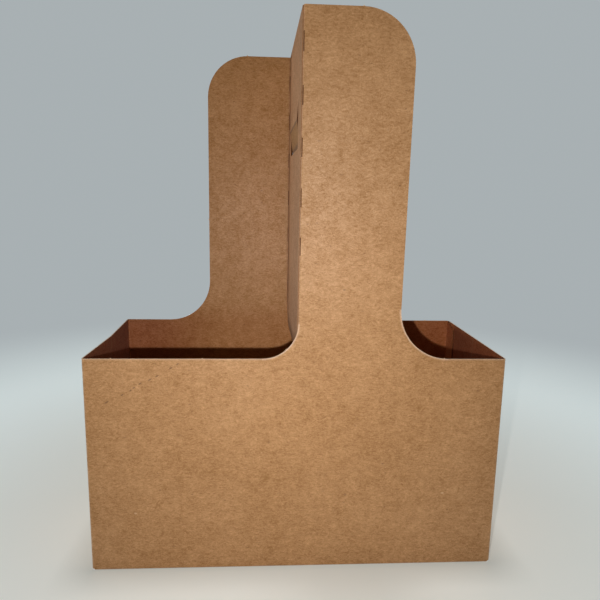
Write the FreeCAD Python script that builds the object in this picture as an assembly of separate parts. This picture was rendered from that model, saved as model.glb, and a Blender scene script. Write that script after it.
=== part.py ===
import FreeCAD, Part
import math
import os
from FreeCAD import Vector

# Cardboard cup carrier: one blank of kraft board, cut, creased, folded and glued.
# X runs along the long walls, Y from front to back, Z up.
# The origin is the middle of the footprint, on the surface that the carrier stands on.
# Lengths are in millimetres.

# Box
BOX_W = 208.0            # over the end walls
BOX_D = 90.0             # over the front and back walls
RIM_H = 112.4            # top edge of the walls
BOARD = 0.5              # thickness of the board
CORNER_R = 1.2           # outside of a vertical corner fold
FOOT_R = 1.0             # outside of a fold at the foot of a wall
CREASE_IN = 1.6          # how far the left end wall is pushed in at its middle crease

# Handle
TOP_H = 272.5            # top edge of the handle
HALF_W = 49.7            # width of each half of the handle
FOLD_FRONT_X = -0.2      # fold between the front half and its web layer
FOLD_BACK_X = -2.0       # fold between the back half and its web layer
FOLD_R = 0.7             # outside of that fold
TOP_R = 24.0             # rounded outer top corner
SHOULDER_R = 25.0        # curve from the handle's outer edge into the rim
THROAT_R = 17.5          # curve from the handle's fold into the rim
WEB_GAP = 0.8            # from a web layer's free edge to the wall that it faces

# Slits that ease each fold of the handle, in a row above one another
SLIT_COUNT = 5
SLIT_LOW = 167.2         # middle of the lowest slit
SLIT_DROP = 14.9         # from the handle's top edge down to the middle of the highest slit
SLIT_LEN = 8.5
SLIT_GAPE = 0.8          # how wide a slit opens round the fold
SLIT_TURN = 30.0         # degrees round the fold from the web to a slit

# Finger slot in the web, closed by a flap that hangs from its upper edge
SLOT_LEN = 54.0
SLOT_LOW = 213.5
SLOT_HIGH = 235.5
SLOT_R = 3.5             # lower corners
SLOT_KERF = 0.6          # cut around the flap
FLAP_BEND_Z = 227.0      # second crease, where the flap stands a little out to the left
FLAP_LIFT = 4.0          # lean above that crease, in degrees
FLAP_PUSH = 8.0          # lean the other way below it, in degrees

# Base: two long flaps glued over each other, and a shorter flap off each end wall
LONG_FLAP_GAP = 1.5      # from a long flap's free edge to the wall beyond
END_FLAP_LEN = 42.0
END_FLAP_GAP = 1.2       # from an end flap's sides to the long walls

# Glue flap off the back wall, inside the right end wall
GLUE_W = 13.0
GLUE_SLANT = 4.0         # drop of its upper edge
GLUE_LIFT = 4.0          # lower edge above the base
SEAM_GAP = 1.1           # cut edge of the end wall, short of the back face

HALF_BOX_W = BOX_W / 2
HALF_BOX_D = BOX_D / 2
BASE_T = 2 * BOARD
FLOOR_Z = 3 * BOARD
FOOT_TOP = FLOOR_Z + 1.0


def rounded_wire(corners):
    """Closed wire in the XY plane through (x, y, radius) corners, each with a tangent arc."""
    spans = []
    count = len(corners)
    for i in range(count):
        x, y, radius = corners[i]
        here = Vector(x, y, 0)
        before = Vector(corners[i - 1][0], corners[i - 1][1], 0)
        after = Vector(corners[(i + 1) % count][0], corners[(i + 1) % count][1], 0)
        if radius == 0:
            spans.append((here, None, here))
            continue
        to_before = (before - here).normalize()
        to_after = (after - here).normalize()
        half = to_before.getAngle(to_after) / 2
        reach = radius / math.tan(half)
        bisector = (to_before + to_after).normalize()
        middle = here + bisector * (radius / math.sin(half) - radius)
        spans.append((here + to_before * reach, middle, here + to_after * reach))
    edges = []
    for i in range(count):
        start, middle, end = spans[i]
        if middle is not None:
            edges.append(Part.Arc(start, middle, end).toShape())
        following = spans[(i + 1) % count][0]
        if end.distanceToPoint(following) > 1e-6:
            edges.append(Part.LineSegment(end, following).toShape())
    return Part.Wire(edges)


def upright(corners, low, high):
    """Prism that stands on the plan outline, from one height to another."""
    solid = Part.Face(rounded_wire(corners)).extrude(Vector(0, 0, high - low))
    solid.translate(Vector(0, 0, low))
    return solid


def front_plate(corners, near, far):
    """Prism with an (x, z) outline, from one depth to another along Y."""
    solid = Part.Face(rounded_wire(corners)).extrude(Vector(0, 0, near - far))
    solid.rotate(Vector(0, 0, 0), Vector(1, 0, 0), 90)
    solid.translate(Vector(0, near, 0))
    return solid


def side_plate(corners, left, right):
    """Prism with a (y, z) outline, from one side to another along X."""
    solid = Part.Face(rounded_wire(corners)).extrude(Vector(0, 0, right - left))
    solid.rotate(Vector(0, 0, 0), Vector(1, 1, 1), 120)
    solid.translate(Vector(left, 0, 0))
    return solid


def box(x0, x1, y0, y1, z0, z1):
    return Part.makeBox(x1 - x0, y1 - y0, z1 - z0, Vector(x0, y0, z0))


def make_walls():
    """The four walls down to their feet."""
    seam_y = HALF_BOX_D - SEAM_GAP
    seam_r = SEAM_GAP - 0.1
    inner_r = CORNER_R - BOARD
    crease = HALF_BOX_W - CREASE_IN
    lean = CREASE_IN / HALF_BOX_D
    thick = BOARD * math.hypot(1, lean)
    outside = [
        (-HALF_BOX_W, -HALF_BOX_D, CORNER_R),
        (HALF_BOX_W, -HALF_BOX_D, CORNER_R),
        (HALF_BOX_W, seam_y, 0),
        (HALF_BOX_W - BOARD, seam_y, 0),
        (HALF_BOX_W - BOARD, HALF_BOX_D, seam_r),
        (-HALF_BOX_W, HALF_BOX_D, CORNER_R),
        (-crease, 0, 0),
    ]
    inside = [
        (-HALF_BOX_W + thick + BOARD * lean, -HALF_BOX_D + BOARD, inner_r),
        (HALF_BOX_W - BOARD, -HALF_BOX_D + BOARD, inner_r),
        (HALF_BOX_W - BOARD, seam_y - BOARD, 0),
        (HALF_BOX_W - 2 * BOARD, seam_y - BOARD, 0),
        (HALF_BOX_W - 2 * BOARD, HALF_BOX_D - BOARD, seam_r - BOARD),
        (-HALF_BOX_W + thick + BOARD * lean, HALF_BOX_D - BOARD, inner_r),
        (-crease + thick, 0, 0),
    ]
    walls = upright(outside, BASE_T, RIM_H).cut(upright(inside, 0, RIM_H + 1))
    side = HALF_BOX_D - BOARD - END_FLAP_GAP
    straight = HALF_BOX_W - CORNER_R
    walls = walls.cut(box(-BOX_W, BOX_W, -side, side, 0, FOOT_TOP))
    walls = walls.cut(box(-straight, straight, -BOX_D, BOX_D, 0, FOOT_TOP))
    return walls


def make_end_flap(crease_in):
    """Foot of the right end wall, folded in; the wall may be pushed in at its middle crease."""
    end = HALF_BOX_W
    outline = [
        (end, FOOT_TOP, 0),
        (end, BASE_T, FOOT_R),
        (end - END_FLAP_LEN, BASE_T, 0),
        (end - END_FLAP_LEN, FLOOR_Z, 0),
        (end - BOARD, FLOOR_Z, FOOT_R - BOARD),
        (end - BOARD, FOOT_TOP, 0),
    ]
    side = HALF_BOX_D - BOARD - END_FLAP_GAP
    half = front_plate(outline, -HALF_BOX_D, 5)
    half.rotate(Vector(end, -HALF_BOX_D, 0), Vector(0, 0, 1), math.degrees(math.atan(crease_in / HALF_BOX_D)))
    half = half.common(box(0, BOX_W, -side, 0, 0, FOOT_TOP))
    return half.fuse(half.mirror(Vector(0, 0, 0), Vector(0, 1, 0)))


def make_long_flap(level, reach):
    """Foot of the front wall, folded in at the given level into a flap of the given reach."""
    front = -HALF_BOX_D
    outline = [
        (front, FOOT_TOP, 0),
        (front, level, FOOT_R),
        (front + reach, level, 0),
        (front + reach, level + BOARD, 0),
        (front + BOARD, level + BOARD, FOOT_R - BOARD),
        (front + BOARD, FOOT_TOP, 0),
    ]
    straight = HALF_BOX_W - CORNER_R
    return side_plate(outline, -straight, straight)


def make_glue_flap():
    """Flap off the back wall, on the inner face of the right end wall."""
    back = HALF_BOX_D - BOARD
    free = HALF_BOX_D - GLUE_W
    outline = [
        (back - SEAM_GAP, FLOOR_Z + GLUE_LIFT, 0),
        (back - SEAM_GAP, RIM_H, 0),
        (free, RIM_H - GLUE_SLANT, 1.5),
        (free, FLOOR_Z + GLUE_LIFT + GLUE_SLANT, 1.5),
    ]
    return side_plate(outline, HALF_BOX_W - 2 * BOARD, HALF_BOX_W - BOARD)


def make_slit(middle):
    """Cutter for one slit: a slab through the board, square to the outside of the fold."""
    slab = box(-2 * FOLD_R, 0, -SLIT_GAPE / 2, SLIT_GAPE / 2, middle - SLIT_LEN / 2, middle + SLIT_LEN / 2)
    slab.rotate(Vector(0, 0, 0), Vector(0, 0, 1), SLIT_TURN)
    slab.translate(Vector(FOLD_FRONT_X + FOLD_R, FOLD_R - HALF_BOX_D, 0))
    return slab


def make_handle_half():
    """Front half of the handle, with the web layer that is folded back off its inner edge."""
    front = -HALF_BOX_D
    fold = FOLD_FRONT_X
    outer = fold + HALF_W
    throat = RIM_H + THROAT_R
    lap = 1.5
    low = RIM_H - 2
    outline = [
        (fold - THROAT_R - 6, low, 0),
        (fold - THROAT_R - 6, RIM_H, 0),
        (fold, RIM_H, THROAT_R),
        (fold, throat + 0.5, 0),
        (fold + lap, throat + 0.5, 0),
        (fold + lap, TOP_H, 0),
        (outer, TOP_H, TOP_R),
        (outer, RIM_H, SHOULDER_R),
        (outer + SHOULDER_R + 6, RIM_H, 0),
        (outer + SHOULDER_R + 6, low, 0),
    ]
    plate = front_plate(outline, front, front + BOARD)

    free = HALF_BOX_D - BOARD - WEB_GAP
    slope = (FOLD_BACK_X - FOLD_FRONT_X) / BOX_D
    thick = BOARD * math.hypot(1, slope)
    plan = [
        (fold + lap, front, 0),
        (fold, front, FOLD_R),
        (fold + slope * (free - front), free, 0),
        (fold + slope * (free - front) + thick, free, 0),
        (fold + slope * BOARD + thick, front + BOARD, FOLD_R - BOARD),
        (fold + lap, front + BOARD, 0),
    ]
    layer = upright(plan, RIM_H, TOP_H)
    trim = [
        (front - 1, RIM_H - 1, 0),
        (front + THROAT_R + 1, RIM_H - 1, 0),
        (front + THROAT_R + 1, RIM_H, 0),
        (front, RIM_H, THROAT_R),
        (front, throat + 1, 0),
        (front - 1, throat + 1, 0),
    ]
    layer = layer.cut(side_plate(trim, fold - 4, fold + 4))
    half = plate.fuse(layer)
    step = (TOP_H - SLIT_DROP - SLIT_LOW) / (SLIT_COUNT - 1)
    for i in range(SLIT_COUNT):
        half = half.cut(make_slit(SLIT_LOW + i * step))
    return half


def half_turn(solid):
    """The same solid, turned half round about the upright axis in the middle of the web."""
    turned = solid.copy()
    middle = Vector((FOLD_FRONT_X + FOLD_BACK_X) / 2, 0, 0)
    turned.rotate(middle, Vector(0, 0, 1), 180)
    return turned


def make_slot_outline(inset):
    half = SLOT_LEN / 2 - inset
    corner = SLOT_R - inset
    return [
        (-half, SLOT_LOW + inset, corner),
        (half, SLOT_LOW + inset, corner),
        (half, SLOT_HIGH, 0),
        (-half, SLOT_HIGH, 0),
    ]


def make_slot_flap():
    """Both layers of the flap: out to the left as far as the crease, then in to the right."""
    flap = side_plate(make_slot_outline(SLOT_KERF), -BOARD, BOARD)
    above = flap.common(box(-1, 1, -SLOT_LEN, SLOT_LEN, FLAP_BEND_Z, SLOT_HIGH))
    below = flap.common(box(-1, 1, -SLOT_LEN, SLOT_LEN, SLOT_LOW, FLAP_BEND_Z))
    below.rotate(Vector(-BOARD, 0, FLAP_BEND_Z), Vector(0, 1, 0), -FLAP_PUSH - FLAP_LIFT)
    bent = above.fuse(below)
    bent.rotate(Vector(BOARD, 0, SLOT_HIGH), Vector(0, 1, 0), FLAP_LIFT)
    return bent


def in_web(solid):
    """Move a solid made about the plane x = 0 into the middle of the web."""
    placed = solid.copy()
    lean = math.degrees(math.atan2(FOLD_FRONT_X - FOLD_BACK_X, BOX_D))
    placed.rotate(Vector(0, 0, 0), Vector(0, 0, 1), lean)
    placed.translate(Vector((FOLD_FRONT_X + FOLD_BACK_X) / 2, 0, 0))
    return placed


front_half = make_handle_half()
back_half = half_turn(front_half)
slot = in_web(side_plate(make_slot_outline(0), -5, 5))
front_half = front_half.cut(slot)
back_half = back_half.cut(slot)

outer_flap = make_long_flap(0, BOX_D - LONG_FLAP_GAP)
inner_flap = make_long_flap(BOARD, BOX_D - BOARD - LONG_FLAP_GAP)
inner_flap.rotate(Vector(0, 0, 0), Vector(0, 0, 1), 180)

right_flap = make_end_flap(0)
left_flap = make_end_flap(CREASE_IN).mirror(Vector(0, 0, 0), Vector(1, 0, 0))

carrier = make_walls()
for piece in (outer_flap, inner_flap, right_flap, left_flap, make_glue_flap()):
    carrier = carrier.fuse(piece)
for piece in (front_half, back_half, in_web(make_slot_flap())):
    carrier = carrier.fuse(piece)
carrier = carrier.removeSplitter()
if carrier.ShapeType == "Compound":
    carrier = carrier.Solids[0]

os.makedirs("parts", exist_ok=True)
carrier.exportStep("parts/carrier.step")
print("valid", carrier.isValid(), "solids", len(carrier.Solids), "faces", len(carrier.Faces))
print("volume cm3", round(carrier.Volume / 1000, 2), "box", carrier.BoundBox)
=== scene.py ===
import math

import bmesh
import bpy
from mathutils import Matrix, Vector


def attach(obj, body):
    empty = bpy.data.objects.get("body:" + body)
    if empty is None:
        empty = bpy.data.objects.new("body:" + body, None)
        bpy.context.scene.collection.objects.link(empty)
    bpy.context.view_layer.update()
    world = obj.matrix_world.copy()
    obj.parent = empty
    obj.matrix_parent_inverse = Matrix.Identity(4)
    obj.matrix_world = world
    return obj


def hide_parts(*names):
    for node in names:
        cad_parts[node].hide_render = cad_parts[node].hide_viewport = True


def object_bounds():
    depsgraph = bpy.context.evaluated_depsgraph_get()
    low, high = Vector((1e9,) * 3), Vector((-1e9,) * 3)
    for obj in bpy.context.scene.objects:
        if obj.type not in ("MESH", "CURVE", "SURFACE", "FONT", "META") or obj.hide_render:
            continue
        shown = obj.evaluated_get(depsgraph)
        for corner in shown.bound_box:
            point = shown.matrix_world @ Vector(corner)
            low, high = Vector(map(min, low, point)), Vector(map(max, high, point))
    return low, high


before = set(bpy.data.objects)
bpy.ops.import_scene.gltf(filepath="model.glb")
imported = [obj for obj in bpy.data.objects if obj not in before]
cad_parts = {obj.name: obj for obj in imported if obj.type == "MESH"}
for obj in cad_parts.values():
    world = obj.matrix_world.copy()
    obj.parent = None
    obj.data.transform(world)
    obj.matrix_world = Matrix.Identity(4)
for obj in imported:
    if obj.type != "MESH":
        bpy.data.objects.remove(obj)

cad_box = [list(corner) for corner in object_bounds()]
MM = 0.001

# Sizes of the carrier that the looks follow, in millimetres
WALL_X = round(cad_box[1][0] / MM, 1)    # outer faces of the end walls
WALL_Y = round(cad_box[1][1] / MM, 1)    # outer faces of the front and back walls
TOP_Z = round(cad_box[1][2] / MM, 1)     # top edge of the handle
RIM_Z = 112.4                            # top edge of the walls
BOARD = 0.5                              # thickness of the board
BOARD_Y = WALL_Y - BOARD / 2             # middle of the board of the front and back walls

# Handle
FRONT_FOLD_X = -0.2                      # fold between the front half and the web
BACK_FOLD_X = -2.0                       # fold between the back half and the web
WEB_REACH = 4.0                          # the web lies within this distance of the middle
WEB_EDGE_Y = (43.5, 44.0)                # its free edges stand between these
OUTER_X = 49.5                           # outer edge of the front half
THROAT_R = 17.5                          # curve from the fold into the rim
SHOULDER_R = 25.0                        # curve from the outer edge into the rim
SLITS_Z = (160.0, 265.0)                 # the slits along the folds lie between these

# Finger slot and its flap
SLOT_LOW = 213.5
SLOT_HIGH = 235.5
SLOT_HALF = 27.0
FLAP_BEND_Z = 227.0                      # second crease of the flap

# Base, and the glue flap in the right back corner
BASE_Z = 3.0                             # just above the flaps of the base
END_FLAPS_X = (60.0, 64.0)               # the free edges of the end flaps lie between these
BASE_EDGES_Y = (42.5, 43.6)              # the other edges of the base's flaps lie between these
GLUE_X = 102.4                           # just short of the glue flap's inner face
GLUE_Y = 31.5                            # just short of its free edge

# How far the relaxed handle springs at its top, in millimetres
SPRING_FRONT = 2.3
SPRING_BACK = 1.4
SPRING_SIDE = 0.9        # outer edge of the front half
BEND_LEVELS = (RIM_Z, 150.0, 190.0, 232.0)

# Mesh
WELD = 1e-6              # metres
BEVEL = 0.19             # millimetres, on the raw edges
BEVEL_OVER = math.radians(60)
SMOOTH_UNDER = math.radians(28)
# Share of the painted shade that the free edges of the web get in their corner
WEB_EDGE_SHADE = 0.52     # share of the dark tone on the free edges of the web

# Torn nicks on the raw edges of the front: x, z, lean in radians, and how far the spring of the
# handle takes the nick out at the front, and its turned copy out at the back
NICKS = [
    (-90.2, RIM_Z, 0.0, 0.0, 0.0),
    (-46.6, RIM_Z, 0.0, 0.0, 0.0),
    (-5.9, 117.0, -0.74, 0.0, 0.0),
    (72.6, RIM_Z, 0.05, 0.0, 0.0),
    (49.6, 176.0, 1.57, 0.85, 0.85),
    (26.0, TOP_Z, 0.0, 2.25, 1.35),
]
NICK_DEPTH = 0.2         # half the thickness of a nick
NICK_ROOT = 0.3          # how deep it is set into the edge

# Colours of the board
PULP_DARK = (0.292, 0.1345, 0.0440)
PULP_PALE = (0.648, 0.3515, 0.1535)
FIBRE_DARK = (0.245, 0.118, 0.045)
FIBRE_PALE = (0.760, 0.480, 0.255)
BARK = (0.190, 0.085, 0.032)
CUT_DARK = (0.64, 0.46, 0.33)
CUT_PALE = (0.88, 0.70, 0.54)
# Painted shade on cut edges in narrow slits and corners
GAP_SHADE_DARK = (0.070, 0.025, 0.009)
GAP_SHADE_PALE = (0.125, 0.050, 0.020)
TORN_DARK = (0.56, 0.37, 0.22)
TORN_PALE = (0.78, 0.58, 0.40)
FOLD_RUB = (0.56, 0.36, 0.24)
# Painted shade in the inner corners of the folds
FOLD_CORNER_SHADE = (0.24, 0.11, 0.05)
RIM_RUB = (0.84, 0.64, 0.48)
# Painted shade along the flap's crease and foot
FLAP_CREASE_SHADE = (0.11, 0.05, 0.022)
# Painted shade along the crease in the middle of the end walls
END_CREASE_SHADE = (0.26, 0.14, 0.065)
CORNER_RUB = (0.72, 0.50, 0.32)
MARK_DARK = (0.17, 0.08, 0.035)
MARK_PALE = (0.76, 0.54, 0.34)
SHEEN = (0.92, 0.93, 1.0)

# Tints that multiply the board's colour: the inner side's own deeper colour with painted shade, painted
# shade in the box and on the finger flap, and a painted sheen on the web
INNER_SIDE_AND_SHADE_TINT = (0.88, 0.79, 0.61)
BOX_MIDDLE_SHADE_TINT = (0.87, 0.74, 0.53)
BOX_SIDE_SHADE_TINT = (0.71, 0.45, 0.34)
END_WALL_SHADE_TINT = (0.50, 0.28, 0.24)
GLUE_FLAP_SHADE_TINT = (0.79, 0.51, 0.46)
WEB_SHEEN_TINT = (1.04, 1.02, 1.10)
# Painted shade on the finger flap below its crease
FLAP_SHADE_TINT = (0.71, 0.67, 0.42)

# Single marks on the front wall: x, z, size, colour
FRONT_MARKS = [
    (21.5, 146.8, 0.7, MARK_DARK),
    (44.0, 57.0, 0.8, MARK_DARK),
    (25.3, 40.2, 0.7, MARK_DARK),
    (-81.0, 31.5, 0.7, MARK_PALE),
    (76.0, 40.5, 0.9, MARK_PALE),
]

# Row of small cracks on the front wall, upper left: start, direction, half width,
# and for each crack its place along the row and across it, and its half length
CRACK_START = (-92.6, 88.6)
CRACK_WAY = (0.850, 0.527)
CRACK_HALF_WIDTH = 0.38
CRACKS = [
    (0.8, -1.8, 1.3),
    (9.2, -1.0, 0.8),
    (13.9, -0.7, 0.7),
    (16.0, -1.0, 0.8),
    (19.7, -1.2, 1.0),
    (24.7, -0.4, 1.1),
    (28.6, -0.1, 1.0),
    (36.4, 0.0, 0.9),
    (40.3, 0.0, 0.8),
]

# Surroundings
BACKDROP = (0.395, 0.435, 0.450)
AMBIENT_COLOUR = (0.92, 0.96, 1.0)
AMBIENT = 0.035
FLOOR = (0.70, 0.70, 0.68)
FLOOR_GLOW_NEAR = (0.18, 0.19, 0.17)
FLOOR_GLOW_MIDDLE = (0.33, 0.40, 0.41)
FLOOR_RADIUS = 6.0       # metres
FLOOR_DROP = 0.0002

# Camera, from the edges and vanishing points of the carrier in the picture
CAMERA_PLACE = (-15.233, -306.230, 188.673)
CAMERA_RIGHT = (0.998261, -0.056384, 0.017225)
CAMERA_AHEAD = (0.058544, 0.982509, -0.176772)
CAMERA_LENS = 33.318
CAMERA_SENSOR = 36.0

# Lamps: name, place and target in metres, lighting level, size, colour, spread in degrees.
# The key is small and close to the lens, and its pool tops it up lower down. The others are soft:
# three stand low and stay out of the box, and one hangs above it.
KEY_PLACE = (-0.028, -0.300, 0.1655)
KEY_SIZE = (0.004, 0.004)
KEY_COLOUR = (1.0, 0.985, 0.95)
LAMPS = [
    ("key", KEY_PLACE, (-0.002, -0.045, 0.160), 0.918, KEY_SIZE, KEY_COLOUR, 152),
    ("key_pool", KEY_PLACE, (0.002, -0.045, 0.085), 0.14, KEY_SIZE, KEY_COLOUR, 50),
    ("left_side", (-1.3, 0.30, 0.06), (-0.05, 0.0, 0.10), 0.40, (0.5, 0.09), (0.96, 0.97, 1.0), 180),
    ("right_side", (1.3, 0.30, 0.06), (0.05, 0.0, 0.10), 0.36, (0.5, 0.09), (1.0, 0.98, 0.95), 180),
    ("behind", (0.0, 1.3, 0.06), (0.0, 0.045, 0.13), 0.55, (0.9, 0.09), (1.0, 0.99, 0.97), 180),
    ("above", (0.0, 0.05, 1.3), (0.0, 0.0, 0.05), 0.28, (0.22, 0.22), (1.0, 0.99, 0.97), 180),
]


# The folded sheet
def is_cut_edge(centre, normal):
    """True for the raw edges of the board, where the die cut it."""
    x, y, z = centre
    nx, ny, nz = (abs(v) for v in normal)
    if x > GLUE_X and GLUE_Y < y < 44.1 and z < RIM_Z - 0.2:
        return False
    if nz > 0.3 and z > BASE_Z:
        return True
    if nx > 0.5 and z > RIM_Z and abs(abs(y) - BOARD_Y) < 0.3 and abs(x) > 10:
        return True
    if z < BASE_Z and nx > 0.9 and END_FLAPS_X[0] < abs(x) < END_FLAPS_X[1]:
        return True
    return z < BASE_Z and ny > 0.9 and BASE_EDGES_Y[0] < abs(y) < BASE_EDGES_Y[1]


def is_web_edge(centre, normal):
    """True for the free edge of a web layer, which stands in the corner beside the other fold."""
    x, y, z = centre
    at_wall = abs(x) < WEB_REACH and WEB_EDGE_Y[0] < abs(y) < WEB_EDGE_Y[1]
    return at_wall and z > RIM_Z - 0.5 and abs(normal[1]) > 0.9


def is_shaded_gap_edge(centre, normal):
    """True for cut edges that sit in a narrow slit or corner: at the finger slot, along the folds and on
    the glue flap. They get painted shade.
    """
    x, y, z = centre
    nx, ny, nz = (abs(v) for v in normal)
    at_slot = abs(y) < SLOT_HALF + 1 and SLOT_LOW - 1 < z < SLOT_HIGH + 1
    if at_slot and abs(x) < WEB_REACH and nx < 0.8:
        return True
    from_web = abs(x - (FRONT_FOLD_X + BACK_FOLD_X) / 2)
    at_slits = from_web < 3.0 and abs(y) > WALL_Y - 2 and SLITS_Z[0] < z < SLITS_Z[1]
    if at_slits and (nz > 0.3 or normal[0] * normal[1] < -0.1):
        return True
    on_glue_flap = x > GLUE_X and GLUE_Y < y < 43.8 and BASE_Z < z < RIM_Z - 0.2
    return on_glue_flap and (ny > 0.5 or nz > 0.3)


def lean(co):
    """The halves of the handle spring a little apart towards the top, as folded board does."""
    x, y, z = (v / MM for v in co)
    if z <= RIM_Z:
        return co
    rise = (z - RIM_Z) / (TOP_Z - RIM_Z)
    opening = SPRING_FRONT if y < 0 else SPRING_BACK
    y += opening * rise * y / WALL_Y
    if y < 0 and x > 0:
        x += SPRING_SIDE * rise * x / OUTER_X
    return Vector((x * MM, y * MM, z * MM))


def crush_edges(bm, cut):
    """Take the sharp corners off the raw edges, as a die leaves them."""
    corners = []
    for edge in bm.edges:
        marks = [face[cut] for face in edge.link_faces]
        if len(marks) == 2 and sum(marks) == 1 and edge.calc_face_angle(0) > BEVEL_OVER:
            corners.append(edge)
    ends = {vert for edge in corners for vert in edge.verts}
    done = bmesh.ops.bevel(
        bm,
        geom=corners + list(ends),
        offset=BEVEL * MM,
        offset_type="OFFSET",
        segments=1,
        profile=0.5,
        affect="EDGES",
        clamp_overlap=True,
    )
    for face in done["faces"]:
        face[cut] = 1.0
        face.smooth = True


def put_in_scene(name, mesh):
    """A new object that carries the mesh."""
    thing = bpy.data.objects.new(name, mesh)
    bpy.context.collection.objects.link(thing)
    return thing


def make_sheet():
    """The carrier's mesh, welded, with its raw edges marked and the handle relaxed."""
    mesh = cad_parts["carrier"].data.copy()
    mesh.name = "carrier_sheet"
    if mesh.has_custom_normals:
        mesh.normals_split_custom_set([(0, 0, 0)] * len(mesh.loops))
    bm = bmesh.new()
    bm.from_mesh(mesh)
    bmesh.ops.remove_doubles(bm, verts=bm.verts, dist=WELD)
    bmesh.ops.recalc_face_normals(bm, faces=bm.faces)
    cut = bm.faces.layers.float.new("cut_edge")
    dark = bm.faces.layers.float.new("gap_shade_mark")
    for face in bm.faces:
        centre = face.calc_center_median() / MM
        # Cut edges in narrow slits and corners are marked for painted shade in the face layer made above
        face[dark] = 1.0 if is_shaded_gap_edge(centre, face.normal) else 0.0
        # The web's free edges stand in the corner by the other fold and get part of the painted shade
        if is_web_edge(centre, face.normal):
            face[dark] = WEB_EDGE_SHADE
        face[cut] = 1.0 if is_cut_edge(centre, face.normal) and not face[dark] else 0.0
        face.smooth = True
    crush_edges(bm, cut)
    for edge in bm.edges:
        edge.smooth = len(edge.link_faces) == 2 and edge.calc_face_angle(0) < SMOOTH_UNDER
    for level in BEND_LEVELS:
        whole = bm.verts[:] + bm.edges[:] + bm.faces[:]
        bmesh.ops.bisect_plane(bm, geom=whole, dist=1e-7, plane_co=(0, 0, level * MM), plane_no=(0, 0, 1))
    for vert in bm.verts:
        vert.co = lean(vert.co)
    bm.to_mesh(mesh)
    bm.free()
    return put_in_scene("carrier_sheet", mesh)


def nick_places():
    """Place and lean of each nick in the front, then of its copies, turned half round to the back."""
    front = []
    back = []
    for x, z, turn, front_out, back_out in NICKS:
        front.append((x, -BOARD_Y - front_out, z, turn))
        back.append((FRONT_FOLD_X + BACK_FOLD_X - x, BOARD_Y + back_out, z, -turn))
    return front + back


def make_nicks():
    """Torn ends of the little bridges that held the blank in its die: a ragged tab at each place."""
    bm = bmesh.new()
    for i, (x, y, z, turn) in enumerate(nick_places()):
        wide = 0.36 + 0.08 * ((i * 7) % 3)
        tall = 0.34 + 0.07 * ((i * 5) % 4)
        base = Matrix.Translation(Vector((x, y, z)) * MM) @ Matrix.Rotation(turn, 4, "Y")
        outline = [
            (-wide, -NICK_ROOT),
            (wide, -NICK_ROOT),
            (wide * 0.8, tall * 0.6),
            (wide * 0.25, tall),
            (-wide * 0.5, tall * 0.75),
        ]
        rings = []
        for depth in (-NICK_DEPTH, NICK_DEPTH):
            rings.append([bm.verts.new(base @ (Vector((u, depth, v)) * MM)) for u, v in outline])
        bm.faces.new(rings[0])
        bm.faces.new(list(reversed(rings[1])))
        for j in range(len(outline)):
            k = (j + 1) % len(outline)
            bm.faces.new((rings[0][k], rings[0][j], rings[1][j], rings[1][k]))
    bmesh.ops.recalc_face_normals(bm, faces=bm.faces)
    mesh = bpy.data.meshes.new("torn_nicks")
    bm.to_mesh(mesh)
    bm.free()
    return put_in_scene("torn_nicks", mesh)


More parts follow.
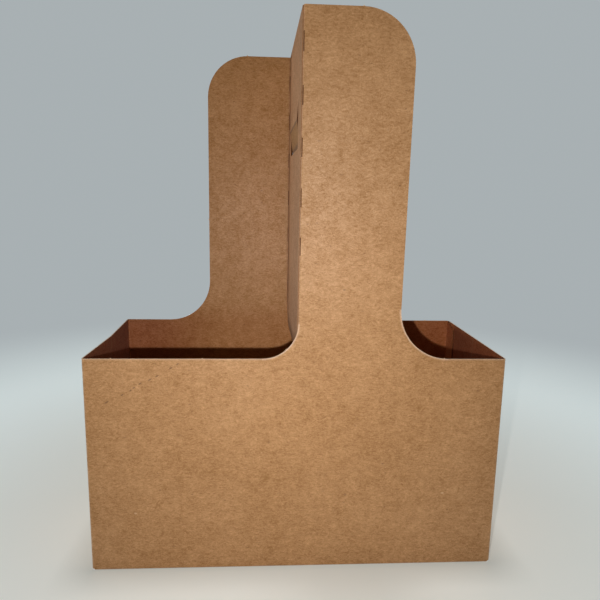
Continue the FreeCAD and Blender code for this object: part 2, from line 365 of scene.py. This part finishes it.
# Materials
class Nodes:
    """Short calls that add shader nodes to one material."""

    def __init__(self, name):
        self.material = bpy.data.materials.new(name)
        self.material.use_nodes = True
        self.tree = self.material.node_tree
        self.tree.nodes.clear()

    def node(self, kind):
        return self.tree.nodes.new(kind)

    def put(self, socket, value):
        if isinstance(value, bpy.types.NodeSocket):
            self.tree.links.new(value, socket)
        elif isinstance(value, (tuple, list)) and socket.type == "RGBA":
            socket.default_value = (*value, 1.0)
        else:
            socket.default_value = value

    def math(self, operation, *values, clamp=False):
        node = self.node("ShaderNodeMath")
        node.operation = operation
        node.use_clamp = clamp
        for socket, value in zip(node.inputs, values):
            self.put(socket, value)
        return node.outputs[0]

    def less(self, value, amount):
        return self.math("SUBTRACT", value, amount)

    def size(self, value):
        return self.math("ABSOLUTE", value)

    def square(self, value):
        return self.math("POWER", value, 2.0)

    def over(self, value, limit):
        """1 where the value is greater than the limit, 0 elsewhere."""
        return self.math("GREATER_THAN", value, limit)

    def under(self, value, limit):
        """1 where the value is less than the limit, 0 elsewhere."""
        return self.math("LESS_THAN", value, limit)

    def product(self, first, *others):
        for value in others:
            first = self.math("MULTIPLY", first, value)
        return first

    def largest(self, first, *others):
        for value in others:
            first = self.math("MAXIMUM", first, value)
        return first

    def ramp(self, value, low, high, start=0.0, end=1.0, smooth=False):
        node = self.node("ShaderNodeMapRange")
        node.interpolation_type = "SMOOTHSTEP" if smooth else "LINEAR"
        for socket, v in zip(node.inputs[:5], (value, low, high, start, end)):
            self.put(socket, v)
        return node.outputs[0]

    def near(self, value, target, reach):
        """1 where the value is at the target, fading to 0 over the reach."""
        return self.ramp(self.size(self.less(value, target)), 0.0, reach, 1.0, 0.0, smooth=True)

    def noise_node(self, vector, scale, detail=2.0, roughness=0.5, distortion=0.0):
        node = self.node("ShaderNodeTexNoise")
        self.put(node.inputs["Vector"], vector)
        self.put(node.inputs["Scale"], scale)
        self.put(node.inputs["Detail"], detail)
        self.put(node.inputs["Roughness"], roughness)
        self.put(node.inputs["Distortion"], distortion)
        return node

    def noise(self, *settings):
        return self.noise_node(*settings).outputs["Fac"]

    def mix(self, amount, first, second, mode="MIX"):
        node = self.node("ShaderNodeMix")
        node.data_type = "RGBA"
        node.blend_type = mode
        self.put(node.inputs["Factor"], amount)
        colours = [s for s in node.inputs if s.type == "RGBA"]
        self.put(colours[0], first)
        self.put(colours[1], second)
        return [s for s in node.outputs if s.type == "RGBA"][0]

    def tinted(self, colour, tint):
        return self.mix(1.0, colour, tint, "MULTIPLY")

    def scaled(self, vector, factors, shift=(0.0, 0.0, 0.0)):
        node = self.node("ShaderNodeMapping")
        self.put(node.inputs["Vector"], vector)
        node.inputs["Scale"].default_value = factors
        node.inputs["Location"].default_value = shift
        return node.outputs[0]

    def parts(self, vector):
        node = self.node("ShaderNodeSeparateXYZ")
        self.put(node.inputs[0], vector)
        return tuple(node.outputs)

    def attribute(self, name):
        node = self.node("ShaderNodeAttribute")
        node.attribute_name = name
        return node.outputs["Fac"]

    def finish(self, shader):
        """Show the shader on the surface."""
        self.put(self.node("ShaderNodeOutputMaterial").inputs["Surface"], shader.outputs[0])
        return self.material


class Board(Nodes):
    """Nodes of a material of the board, with the place in millimetres and the way that a face looks."""

    def __init__(self, name):
        super().__init__(name)
        coords = self.node("ShaderNodeTexCoord")
        self.place = self.scaled(coords.outputs["Object"], (1 / MM, 1 / MM, 1 / MM))
        self.x, self.y, self.z = self.parts(self.place)
        self.nx, self.ny, self.nz = self.parts(coords.outputs["Normal"])

    def streak(self, scale):
        """Fine layers of fibre in a raw edge."""
        return self.ramp(self.noise(self.place, scale, 3.0, 0.6), 0.3, 0.7)


def swirled_place(b):
    """The place, pushed about by slow noise, so that strokes follow a gentle swirl."""
    drift = b.noise_node(b.place, 0.13)
    swirl = b.node("ShaderNodeVectorMath")
    swirl.operation = "MULTIPLY_ADD"
    b.put(swirl.inputs[0], drift.outputs["Color"])
    swirl.inputs[1].default_value = (5.0, 5.0, 5.0)
    b.put(swirl.inputs[2], b.place)
    return swirl.outputs[0]


def pulp_tone(b, flow, stroke, grain):
    """Dark to pale: short level strokes over soft clouds and broad patches."""
    long_stroke = b.noise(b.scaled(flow, (0.34, 0.34, 0.75), (40.0, 9.0, 3.0)), 1.0, 3.0, 0.6, 0.6)
    cloud = b.noise(b.place, 0.16, 4.0, 0.6)
    broad = b.noise(b.place, 0.022, 2.0, 0.5)
    tone = b.math("MULTIPLY_ADD", b.less(stroke, 0.5), 1.25, 0.5)
    tone = b.math("MULTIPLY_ADD", b.less(long_stroke, 0.5), 0.62, tone)
    tone = b.math("MULTIPLY_ADD", b.less(grain, 0.5), 0.70, tone)
    tone = b.math("MULTIPLY_ADD", b.less(cloud, 0.5), 0.58, tone)
    return b.math("MULTIPLY_ADD", b.less(broad, 0.5), 0.4, tone, clamp=True)


def single_fibres(b, flow):
    """Masks of thin curling lines, broken up: the dark ones and the pale ones."""
    curl = b.noise(flow, 0.5, 2.0, 0.5, 1.2)
    line = b.ramp(b.size(b.less(curl, 0.5)), 0.0, 0.02, 1.0, 0.0)
    dark = b.product(line, b.ramp(b.noise(b.place, 0.7, 1.0), 0.52, 0.60))
    curl = b.noise(b.scaled(flow, (1.0, 1.0, 1.0), (31.0, 7.0, 19.0)), 0.6, 2.0, 0.5, 1.4)
    line = b.ramp(b.size(b.less(curl, 0.5)), 0.0, 0.018, 1.0, 0.0)
    gaps = b.noise(b.scaled(b.place, (1.0, 1.0, 1.0), (3.0, 17.0, 11.0)), 0.8, 1.0)
    pale = b.product(line, b.ramp(gaps, 0.53, 0.61))
    return dark, pale


def bark_specks(b, flow):
    """Mask of a few small specks, one in some of the cells."""
    cells = b.node("ShaderNodeTexVoronoi")
    b.put(cells.inputs["Vector"], b.scaled(flow, (0.7, 0.7, 1.5)))
    b.put(cells.inputs["Scale"], 0.26)
    hue = b.node("ShaderNodeSeparateColor")
    b.put(hue.inputs[0], cells.outputs["Color"])
    chosen = b.ramp(hue.outputs[0], 0.80, 0.84)
    return b.product(b.ramp(cells.outputs["Distance"], 0.07, 0.15, 1.0, 0.0), chosen)


def shade_inside(b, colour):
    """The board's inner side is a little deeper, partly its own colour and partly painted shade, and in
    the box painted shade darkens and reddens it towards the end walls.
    """
    from_middle_x = b.math("MULTIPLY", b.nx, b.math("DIVIDE", b.x, WALL_X))
    from_middle_y = b.math("MULTIPLY", b.ny, b.math("DIVIDE", b.y, WALL_Y))
    outward = b.math("ADD", from_middle_x, from_middle_y)
    inner = b.ramp(outward, -0.2, -0.5)
    colour = b.mix(inner, colour, b.tinted(colour, INNER_SIDE_AND_SHADE_TINT))

    # Painted shade in the box, deeper and redder towards the end walls, a little lighter on the glue flap
    below_rim = b.ramp(b.z, RIM_Z - 4, RIM_Z + 16, 1.0, 0.0, smooth=True)
    on_base = b.product(b.ramp(b.z, BASE_Z, BASE_Z + 1, 1.0, 0.0), b.over(b.nz, 0.5))
    inside = b.largest(b.product(inner, below_rim), on_base)
    to_end = b.ramp(b.size(b.x), 40.0, 96.0, smooth=True)
    on_end_wall = b.over(b.size(b.nx), 0.8)
    on_glue_flap = b.product(b.over(b.x, 102.0), b.over(b.y, 31.9))
    tint = b.mix(to_end, BOX_MIDDLE_SHADE_TINT, BOX_SIDE_SHADE_TINT)
    tint = b.mix(on_end_wall, tint, b.mix(on_glue_flap, END_WALL_SHADE_TINT, GLUE_FLAP_SHADE_TINT))
    return b.mix(inside, colour, b.tinted(colour, tint))


def shade_folds(b, colour):
    """The folds of the handle are rubbed pale outside, and painted shade darkens them along their inner
    corners.
    """
    over_rim = b.ramp(b.z, RIM_Z + 8, RIM_Z + 14)
    front_fold = b.product(b.under(b.y, -43.9), b.near(b.x, FRONT_FOLD_X + 0.1, 0.5))
    back_fold = b.product(b.over(b.y, 43.9), b.near(b.x, BACK_FOLD_X - 0.1, 0.5))
    colour = b.mix(b.product(b.largest(front_fold, back_fold), over_rim, 0.10), colour, FOLD_RUB)
    # Painted shade along the inner corners of the folds
    back_corner_shade = b.product(b.near(b.x, BACK_FOLD_X - 0.8, 0.9), b.over(b.y, 44.0), b.under(b.ny, -0.5))
    front_corner_shade = b.product(b.near(b.x, FRONT_FOLD_X + 0.8, 0.9), b.under(b.y, -44.0), b.over(b.ny, 0.5))
    return b.mix(b.product(b.largest(back_corner_shade, front_corner_shade), over_rim, 0.35), colour, FOLD_CORNER_SHADE)


def shade_web(b, colour):
    """The web has upright ribs where its layers were squeezed together, a cool tint painted as its sheen,
    and painted shade that makes it duller near the box and lighter towards the top.
    """
    on_web = b.product(b.under(b.size(b.x), 3.2), b.over(b.size(b.nx), 0.8), b.over(b.z, RIM_Z))
    rib = b.ramp(b.noise(b.scaled(b.place, (0.0, 0.45, 0.030)), 1.0, 3.0, 0.6), 0.3, 0.7, 0.91, 1.08)
    # Painted sheen and painted shade on the web, over its ribs
    ribbed_sheen_shade = b.node("ShaderNodeVectorMath")
    ribbed_sheen_shade.operation = "SCALE"
    b.put(ribbed_sheen_shade.inputs[0], b.tinted(colour, WEB_SHEEN_TINT))
    b.put(ribbed_sheen_shade.inputs["Scale"], b.product(rib, b.ramp(b.z, 125.0, 255.0, 0.84, 1.10)))
    return b.mix(on_web, colour, ribbed_sheen_shade.outputs[0])


def rub_rim(b, colour):
    """A pale line along the outer corner of the rim and of its curves, weaker where it is straight."""
    facing_out = b.over(b.math("MULTIPLY", b.ny, b.math("SIGN", b.y)), 0.6)
    on_face = b.product(facing_out, b.over(b.size(b.y), WALL_Y - 0.8))
    behind = b.over(b.y, 0.0)
    turned_x = b.math("MULTIPLY_ADD", b.x, -2.0, FRONT_FOLD_X + BACK_FOLD_X)
    u = b.math("MULTIPLY_ADD", behind, turned_x, b.x)
    throat_x = FRONT_FOLD_X - THROAT_R
    shoulder_x = OUTER_X + SHOULDER_R
    under_handle = b.product(b.over(u, throat_x), b.under(u, shoulder_x))
    at_rim = b.product(b.ramp(b.z, RIM_Z - 0.9, RIM_Z - 0.2), b.under(b.z, RIM_Z + 0.3))
    lines = [b.product(at_rim, b.less(1.0, under_handle), 0.5)]
    for middle_x, radius in ((throat_x, THROAT_R), (shoulder_x, SHOULDER_R)):
        off_x = b.square(b.less(u, middle_x))
        off_z = b.square(b.less(b.z, RIM_Z + radius))
        away = b.math("SQRT", b.math("ADD", off_x, off_z))
        at_curve = b.ramp(away, radius + 0.9, radius + 0.2)
        lines.append(b.product(at_curve, under_handle, b.under(b.z, RIM_Z + radius)))
    return b.mix(b.product(b.largest(*lines), on_face, 0.5), colour, RIM_RUB)


def shade_finger_flap(b, colour):
    """The flap gets painted shade: a dark line along its crease and its foot, and a darker, olive tone
    below the crease.
    """
    across = b.product(b.under(b.size(b.y), SLOT_HALF - 0.5), b.under(b.size(b.x), WEB_REACH))
    on_flap = b.product(across, b.over(b.z, SLOT_LOW), b.under(b.z, SLOT_HIGH))
    # Painted shade on the flap below its crease
    flap_shade = b.product(on_flap, b.ramp(b.z, FLAP_BEND_Z - 0.4, FLAP_BEND_Z + 0.4, 1.0, 0.0))
    colour = b.mix(flap_shade, colour, b.tinted(colour, FLAP_SHADE_TINT))
    # Painted shade along the crease and the foot of the flap
    at_crease = b.near(b.z, FLAP_BEND_Z - 0.2, 1.1)
    at_foot = b.ramp(b.z, SLOT_LOW + 2.6, SLOT_LOW + 4.4, 1.0, 0.0)
    return b.mix(b.product(on_flap, b.largest(at_crease, at_foot), 0.75), colour, FLAP_CREASE_SHADE)


def rub_corners(b, colour):
    """The upright corners of the box are rubbed pale in places."""
    corner_x = b.ramp(b.size(b.x), WALL_X - 1.4, WALL_X - 0.4)
    corner_y = b.ramp(b.size(b.y), WALL_Y - 1.4, WALL_Y - 0.4)
    rubbed = b.product(corner_x, corner_y, b.ramp(b.noise(b.place, 0.5, 3.0), 0.4, 0.6))
    return b.mix(b.product(rubbed, 0.35), colour, CORNER_RUB)


def mark_front(b, colour):
    """The slanting row of small cracks and the single marks."""
    on_front = b.product(b.under(b.ny, -0.6), b.under(b.y, -44.0))
    way_x, way_z = CRACK_WAY
    from_x = b.less(b.x, CRACK_START[0])
    from_z = b.less(b.z, CRACK_START[1])
    along = b.math("ADD", b.product(from_x, way_x), b.product(from_z, way_z))
    across = b.less(b.product(from_x, way_z), b.product(from_z, way_x))
    for crack_along, crack_across, half_length in CRACKS:
        off_along = b.square(b.math("DIVIDE", b.less(along, crack_along), half_length))
        off_across = b.square(b.math("DIVIDE", b.less(across, crack_across), CRACK_HALF_WIDTH))
        crack = b.ramp(b.math("ADD", off_along, off_across), 0.3, 1.3, 1.0, 0.0)
        colour = b.mix(b.product(crack, on_front, 0.72), colour, MARK_DARK)
    for mark_x, mark_z, size, shade in FRONT_MARKS:
        off_x = b.square(b.less(b.x, mark_x))
        off_z = b.square(b.less(b.z, mark_z))
        mark = b.ramp(b.math("MULTIPLY_ADD", off_z, 3.0, off_x), 0.1, size, 1.0, 0.0)
        colour = b.mix(b.product(mark, on_front, 0.6), colour, shade)
    return colour


def kraft_material():
    """Brown kraft board: pulp, fibres and specks, then what folding and handling did to it, with painted
    shade in its slits, folds, box and flap and a painted sheen on the web.
    """
    b = Board("kraft_board")
    flow = swirled_place(b)
    stroke = b.noise(b.scaled(flow, (0.62, 0.62, 1.5)), 1.0, 4.0, 0.70)
    grain = b.noise(b.place, 1.9, 2.0, 0.6)
    tone = pulp_tone(b, flow, stroke, grain)
    colour = b.mix(tone, PULP_DARK, PULP_PALE)
    dark_fibre, pale_fibre = single_fibres(b, flow)
    colour = b.mix(b.product(dark_fibre, 0.42), colour, FIBRE_DARK)
    colour = b.mix(b.product(pale_fibre, 0.38), colour, FIBRE_PALE)
    colour = b.mix(b.product(bark_specks(b, flow), 0.5), colour, BARK)
    colour = shade_inside(b, colour)

    cut = b.attribute("cut_edge")
    gap_shade = b.attribute("gap_shade_mark")
    streak = b.streak(2.6)
    colour = b.mix(cut, colour, b.mix(streak, CUT_DARK, CUT_PALE))
    # Painted shade on cut edges in narrow slits and corners
    colour = b.mix(gap_shade, colour, b.mix(streak, GAP_SHADE_DARK, GAP_SHADE_PALE))

    colour = shade_folds(b, colour)
    colour = shade_web(b, colour)
    colour = rub_rim(b, colour)
    colour = shade_finger_flap(b, colour)
    # The crease down the middle of the end walls gets painted shade, and a dip in the bump
    crease = b.product(b.near(b.y, 0.0, 0.7), b.over(b.size(b.x), 101.5))
    colour = b.mix(b.product(crease, 0.45), colour, END_CREASE_SHADE)
    colour = rub_corners(b, colour)
    colour = mark_front(b, colour)

    height = b.math("MULTIPLY_ADD", stroke, 0.8, b.product(grain, 0.6))
    height = b.math("MULTIPLY_ADD", dark_fibre, -0.15, height)
    height = b.math("MULTIPLY_ADD", pale_fibre, 0.2, height)
    height = b.math("MULTIPLY_ADD", crease, -1.2, height)
    bump = b.node("ShaderNodeBump")
    b.put(bump.inputs["Height"], height)
    bump.inputs["Strength"].default_value = 0.4
    bump.inputs["Distance"].default_value = 0.12 * MM

    shader = b.node("ShaderNodeBsdfPrincipled")
    b.put(shader.inputs["Base Color"], colour)
    b.put(shader.inputs["Roughness"], b.ramp(tone, 0.0, 1.0, 0.62, 0.50))
    gloss = b.ramp(tone, 0.25, 0.75, 0.22, 0.60)
    b.put(shader.inputs["Specular IOR Level"], b.product(gloss, b.math("MULTIPLY_ADD", gap_shade, -0.9, 1.0)))
    b.put(shader.inputs["Sheen Weight"], b.math("MULTIPLY_ADD", gap_shade, -0.02, 0.02))
    shader.inputs["Sheen Roughness"].default_value = 0.5
    b.put(shader.inputs["Sheen Tint"], SHEEN)
    b.put(shader.inputs["Normal"], bump.outputs[0])
    return b.finish(shader)


def torn_material():
    """Pale torn fibre of the nicks."""
    b = Board("torn_fibre")
    shader = b.node("ShaderNodeBsdfPrincipled")
    b.put(shader.inputs["Base Color"], b.mix(b.streak(3.0), TORN_DARK, TORN_PALE))
    shader.inputs["Roughness"].default_value = 0.85
    return b.finish(shader)


def floor_material():
    """Pale matt floor that fades with distance into the colour of the surroundings."""
    n = Nodes("pale_floor")
    x, y, _ = n.parts(n.node("ShaderNodeTexCoord").outputs["Object"])
    away = n.math("SQRT", n.math("ADD", n.square(x), n.square(y)))
    far = n.ramp(away, 0.30, 0.62, smooth=True)
    middle = n.ramp(away, 0.08, 0.36, smooth=True)
    diffuse = n.node("ShaderNodeBsdfDiffuse")
    n.put(diffuse.inputs["Color"], n.mix(far, FLOOR, (0.0, 0.0, 0.0)))
    ray = n.node("ShaderNodeLightPath").outputs
    glow = n.node("ShaderNodeEmission")
    n.put(glow.inputs["Color"], n.mix(far, n.mix(middle, FLOOR_GLOW_NEAR, FLOOR_GLOW_MIDDLE), BACKDROP))
    seen = n.largest(ray["Is Glossy Ray"], ray["Is Transmission Ray"], ray["Is Camera Ray"])
    n.put(glow.inputs["Strength"], seen)
    total = n.node("ShaderNodeAddShader")
    n.put(total.inputs[0], diffuse.outputs[0])
    n.put(total.inputs[1], glow.outputs[0])
    return n.finish(total)


def make_floor():
    """A round floor, just under the carrier."""
    bm = bmesh.new()
    bmesh.ops.create_circle(bm, cap_ends=True, cap_tris=False, segments=96, radius=FLOOR_RADIUS)
    bmesh.ops.translate(bm, verts=bm.verts, vec=(0.0, 0.0, -FLOOR_DROP))
    mesh = bpy.data.meshes.new("floor")
    bm.to_mesh(mesh)
    bm.free()
    floor = put_in_scene("floor", mesh)
    floor.data.materials.append(floor_material())
    return floor


def make_world():
    """Plain pale surroundings in view, and a low even light on everything."""
    world = bpy.data.worlds.new("world")
    world.use_nodes = True
    tree = world.node_tree
    tree.nodes.clear()
    ray = tree.nodes.new("ShaderNodeLightPath").outputs
    seen = tree.nodes.new("ShaderNodeMath")
    seen.operation = "MAXIMUM"
    tree.links.new(ray["Is Camera Ray"], seen.inputs[0])
    tree.links.new(ray["Is Transmission Ray"], seen.inputs[1])
    soft = tree.nodes.new("ShaderNodeBackground")
    soft.inputs["Color"].default_value = (*AMBIENT_COLOUR, 1.0)
    soft.inputs["Strength"].default_value = AMBIENT
    pale = tree.nodes.new("ShaderNodeBackground")
    pale.inputs["Color"].default_value = (*BACKDROP, 1.0)
    either = tree.nodes.new("ShaderNodeMixShader")
    tree.links.new(seen.outputs[0], either.inputs[0])
    tree.links.new(soft.outputs[0], either.inputs[1])
    tree.links.new(pale.outputs[0], either.inputs[2])
    output = tree.nodes.new("ShaderNodeOutputWorld")
    tree.links.new(either.outputs[0], output.inputs["Surface"])
    bpy.context.scene.world = world


def add_lamp(name, place, target, level, size, colour, spread):
    """A lamp that gives the target a lighting level, where 1 shows a colour as written."""
    aim = Vector(target) - Vector(place)
    lamp = bpy.data.lights.new(name, "AREA")
    lamp.shape = "RECTANGLE"
    lamp.size, lamp.size_y = size
    lamp.spread = math.radians(spread)
    half = lamp.spread / 2
    lamp.energy = level * math.pi ** 2 * aim.length_squared * (1 - half / math.tan(half))
    lamp.color = colour
    holder = bpy.data.objects.new(name, lamp)
    holder.location = place
    holder.rotation_euler = aim.to_track_quat("-Z", "Y").to_euler()
    holder.visible_camera = False
    bpy.context.collection.objects.link(holder)


def add_camera():
    """The camera, at the place and angle that the picture was taken from."""
    lens = bpy.data.cameras.new("camera")
    lens.sensor_width = CAMERA_SENSOR
    lens.lens = CAMERA_LENS
    camera = bpy.data.objects.new("camera", lens)
    right = Vector(CAMERA_RIGHT)
    ahead = Vector(CAMERA_AHEAD)
    turned = Matrix((right, right.cross(ahead), -ahead)).transposed().to_4x4()
    camera.matrix_world = Matrix.Translation(Vector(CAMERA_PLACE) * MM) @ turned
    bpy.context.collection.objects.link(camera)
    bpy.context.scene.camera = camera


sheet = make_sheet()
sheet.data.materials.clear()
sheet.data.materials.append(kraft_material())
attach(sheet, "root")
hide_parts("carrier")

nicks = make_nicks()
nicks.data.materials.append(torn_material())
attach(nicks, "root")

make_floor()
make_world()
add_camera()
for settings in LAMPS:
    add_lamp(*settings)
bpy.context.scene.view_settings.view_transform = "Standard"
